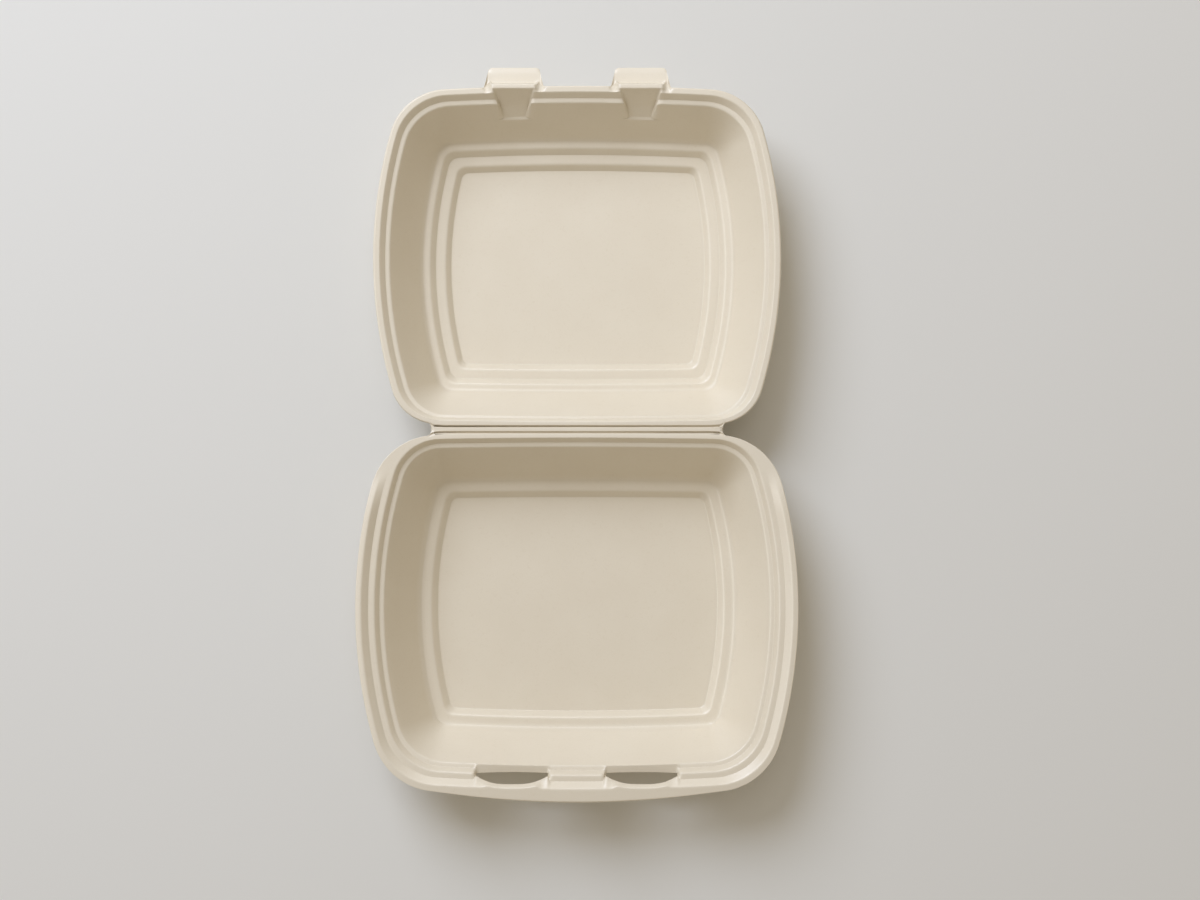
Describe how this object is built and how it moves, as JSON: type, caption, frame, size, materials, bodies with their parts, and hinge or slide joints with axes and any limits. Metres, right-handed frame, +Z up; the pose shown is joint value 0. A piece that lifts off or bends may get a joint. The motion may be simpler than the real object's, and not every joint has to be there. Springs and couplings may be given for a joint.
{
  "type": "hinged food container",
  "caption": "Hinged takeaway food container of moulded plant fibre, open flat, with stepped tray halves joined by a creased web and tabs that close into slots.",
  "frame": {"origin": "centre of the base foot's underside, on the surface that the open box lies on", "axes": "+X to the right seen from the front, +Y from the base's front towards the hinge and the lid, +Z up out of both trays"},
  "size_m": [0.24, 0.4022, 0.0402],
  "materials": {
    "moulded_fibre": "matte, smooth pressed plant fibre"
  },
  "bodies": {
    "base": {"base": "moulded_fibre"},
    "lid": {"lid": "moulded_fibre"}
  },
  "joints": [
    {"name": "lid_hinge", "type": "hinge", "parent": "base", "child": "lid", "pos_m": [0, 0.0956, 0.03775], "axis": [1, 0, 0], "range_deg": [0, 180]}
  ]
}
